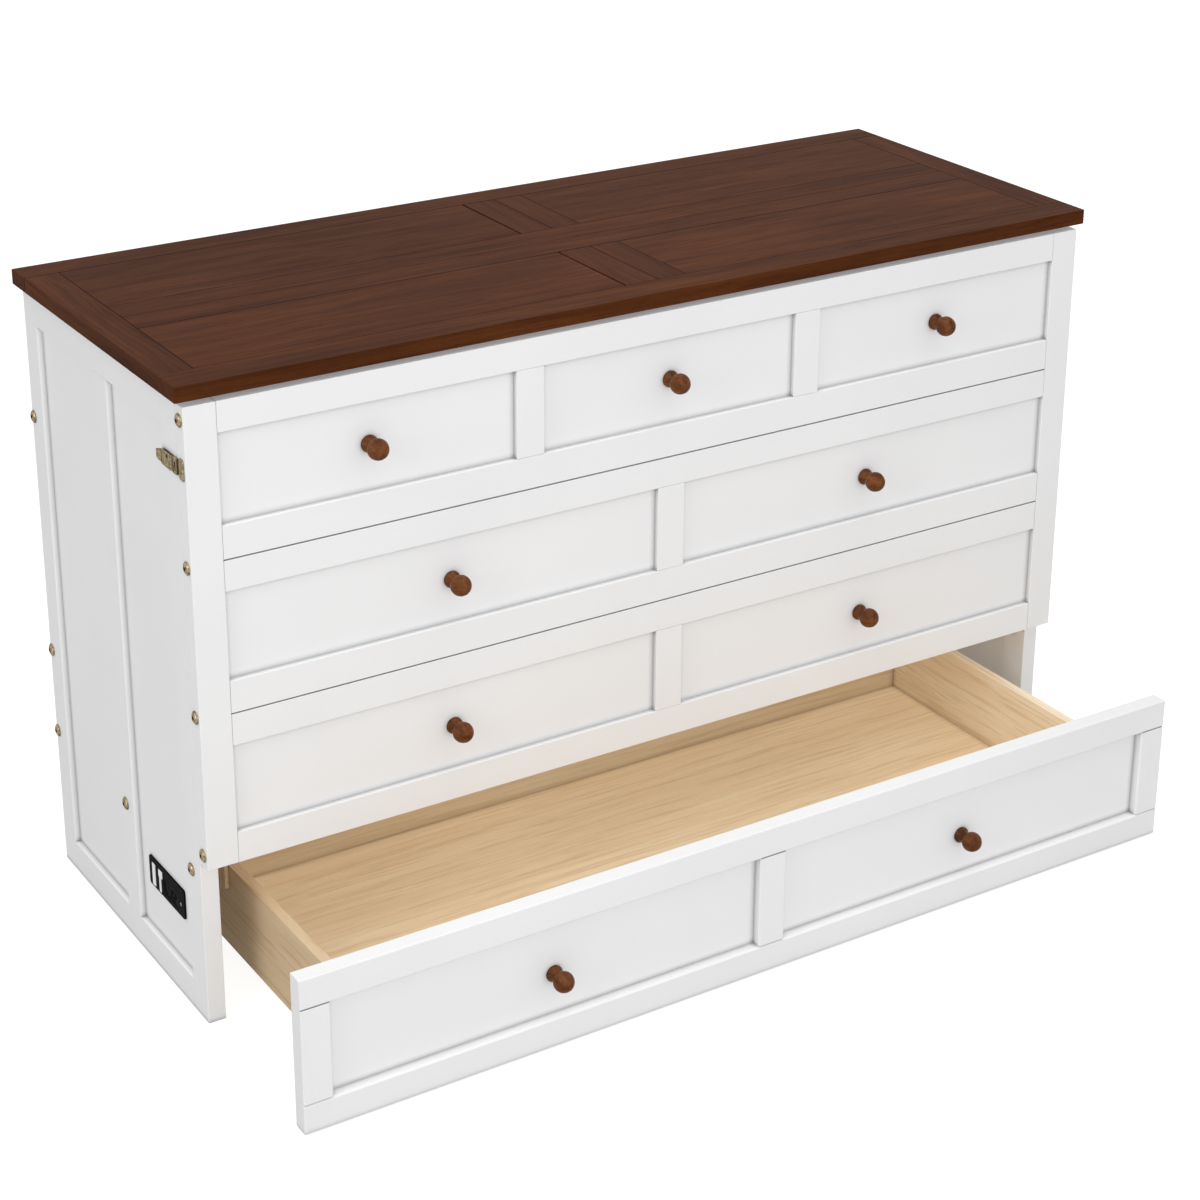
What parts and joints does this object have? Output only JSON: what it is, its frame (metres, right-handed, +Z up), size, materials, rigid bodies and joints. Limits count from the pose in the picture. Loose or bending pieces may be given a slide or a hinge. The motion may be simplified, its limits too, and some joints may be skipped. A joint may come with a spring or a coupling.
{
  "type": "wall bed",
  "caption": "Wall bed in a low white cabinet with a dark wood lid: the front folds down, a hinged foot section with legs swings over it, and a wide drawer rolls out below",
  "frame": {"origin": "centre of the bounding box's footprint at rest, on the floor, with the drawer pulled out as in the picture", "axes": "+X runs to the right along the front, +Y to the back, +Z up"},
  "size_m": [1.6444, 0.9474, 1.0404],
  "materials": {
    "white_paint": "satin white paint on wood",
    "walnut_lid": "satin reddish dark walnut stain",
    "walnut_knob": "polished dark walnut stain",
    "pine": "clear satin natural pine",
    "antique_brass": "dull antique brass",
    "hinge_steel": "zinc plated",
    "black_plastic": "black",
    "white_plastic": "white",
    "caster_rubber": "grey black tread"
  },
  "bodies": {
    "case": {"left_side_frame": "white_paint", "left_side_front_panel": "white_paint", "left_side_rear_panel": "white_paint", "right_side_frame": "white_paint", "right_side_front_panel": "white_paint", "right_side_rear_panel": "white_paint", "lower_back_board": "white_paint", "upper_back_board": "white_paint", "front_deck_rail": "pine", "mid_deck_beam": "pine", "rear_deck_beam": "pine", "deck_slats": "pine", "drawer_guides": "pine", "side_bolts": "antique_brass", "outlet_plate": "black_plastic", "outlet_inserts": "white_plastic", "front_hinge_fixed_halves": "hinge_steel", "lid_hinge_fixed_halves": "hinge_steel", "latch_bases": "antique_brass"},
    "lid": {"lid_front_rail": "walnut_lid", "lid_rear_rail": "walnut_lid", "lid_end_boards": "walnut_lid", "lid_centre_rails": "walnut_lid", "lid_cross_boards": "walnut_lid", "lid_panels": "walnut_lid", "lid_hinge_moving_halves": "hinge_steel"},
    "front": {"front_stiles": "white_paint", "top_face_frame": "white_paint", "top_face_panels": "white_paint", "middle_face_frame": "white_paint", "middle_face_panels": "white_paint", "lower_face_frame": "white_paint", "lower_face_panels": "white_paint", "front_splines": "white_paint", "front_knobs": "walnut_knob", "front_edge_bolts": "antique_brass", "front_hinge_moving_halves": "hinge_steel", "latch_keepers": "antique_brass", "foot_hinge_fixed_halves": "hinge_steel"},
    "foot_section": {"foot_side_rails": "pine", "foot_cross_rails": "pine", "foot_slats": "pine", "foot_hinge_moving_halves": "hinge_steel", "leg_pivot_bolts": "hinge_steel"},
    "legs": {"leg_posts": "pine", "leg_stretcher": "pine"},
    "drawer": {"drawer_face_frame": "white_paint", "drawer_face_panels": "white_paint", "drawer_sides": "pine", "drawer_back": "pine", "drawer_box_front": "pine", "drawer_floor": "pine", "drawer_knobs": "walnut_knob", "caster_brackets": "hinge_steel"},
    "wheel_front_left": {"caster_wheel_front_left": "caster_rubber"},
    "wheel_front_right": {"caster_wheel_front_right": "caster_rubber"},
    "wheel_back_left": {"caster_wheel_back_left": "caster_rubber"},
    "wheel_back_right": {"caster_wheel_back_right": "caster_rubber"},
    "left_latch": {"left_latch_lever": "antique_brass"},
    "right_latch": {"right_latch_lever": "antique_brass"}
  },
  "joints": [
    {"name": "front_fold", "type": "hinge", "parent": "case", "child": "front", "pos_m": [0, -0.1218, 0.2792], "axis": [1, 0, 0], "range_deg": [0, 90]},
    {"name": "foot_unfold", "type": "hinge", "parent": "front", "child": "foot_section", "pos_m": [0, -0.115, 1.0109], "axis": [1, 0, 0], "range_deg": [0, 180]},
    {"name": "lid_open", "type": "hinge", "parent": "case", "child": "lid", "pos_m": [0, 0.4685, 1.0122], "axis": [-1, 0, 0], "range_deg": [0, 90]},
    {"name": "leg_fold", "type": "hinge", "parent": "foot_section", "child": "legs", "pos_m": [0, -0.0815, 0.341], "axis": [-1, 0, 0], "range_deg": [0, 90]},
    {"name": "drawer_slide", "type": "slide", "parent": "case", "child": "drawer", "axis": [0, -1, 0], "range_m": [-0.2993, 0.1207]},
    {"name": "front_left_wheel_roll", "type": "hinge", "parent": "drawer", "child": "wheel_front_left", "pos_m": [-0.66, -0.3233, 0.018], "axis": [1, 0, 0], "continuous": true},
    {"name": "front_right_wheel_roll", "type": "hinge", "parent": "drawer", "child": "wheel_front_right", "pos_m": [0.66, -0.3233, 0.018], "axis": [1, 0, 0], "continuous": true},
    {"name": "back_left_wheel_roll", "type": "hinge", "parent": "drawer", "child": "wheel_back_left", "pos_m": [-0.66, 0.0747, 0.018], "axis": [1, 0, 0], "continuous": true},
    {"name": "back_right_wheel_roll", "type": "hinge", "parent": "drawer", "child": "wheel_back_right", "pos_m": [0.66, 0.0747, 0.018], "axis": [1, 0, 0], "continuous": true},
    {"name": "left_latch_swing", "type": "hinge", "parent": "case", "child": "left_latch", "pos_m": [-0.8133, -0.104, 0.913], "axis": [0, 0, 1], "range_deg": [0, 35]},
    {"name": "right_latch_swing", "type": "hinge", "parent": "case", "child": "right_latch", "pos_m": [0.8133, -0.104, 0.913], "axis": [0, 0, -1], "range_deg": [0, 35]}
  ],
  "couplings": [
    {"joint": "foot_unfold", "follows": "front_fold", "ratio": 2},
    {"joint": "lid_open", "follows": "front_fold", "ratio": 1},
    {"joint": "front_left_wheel_roll", "follows": "drawer_slide", "rad_per_m": 55.556},
    {"joint": "front_right_wheel_roll", "follows": "drawer_slide", "rad_per_m": 55.556},
    {"joint": "back_left_wheel_roll", "follows": "drawer_slide", "rad_per_m": 55.556},
    {"joint": "back_right_wheel_roll", "follows": "drawer_slide", "rad_per_m": 55.556}
  ]
}
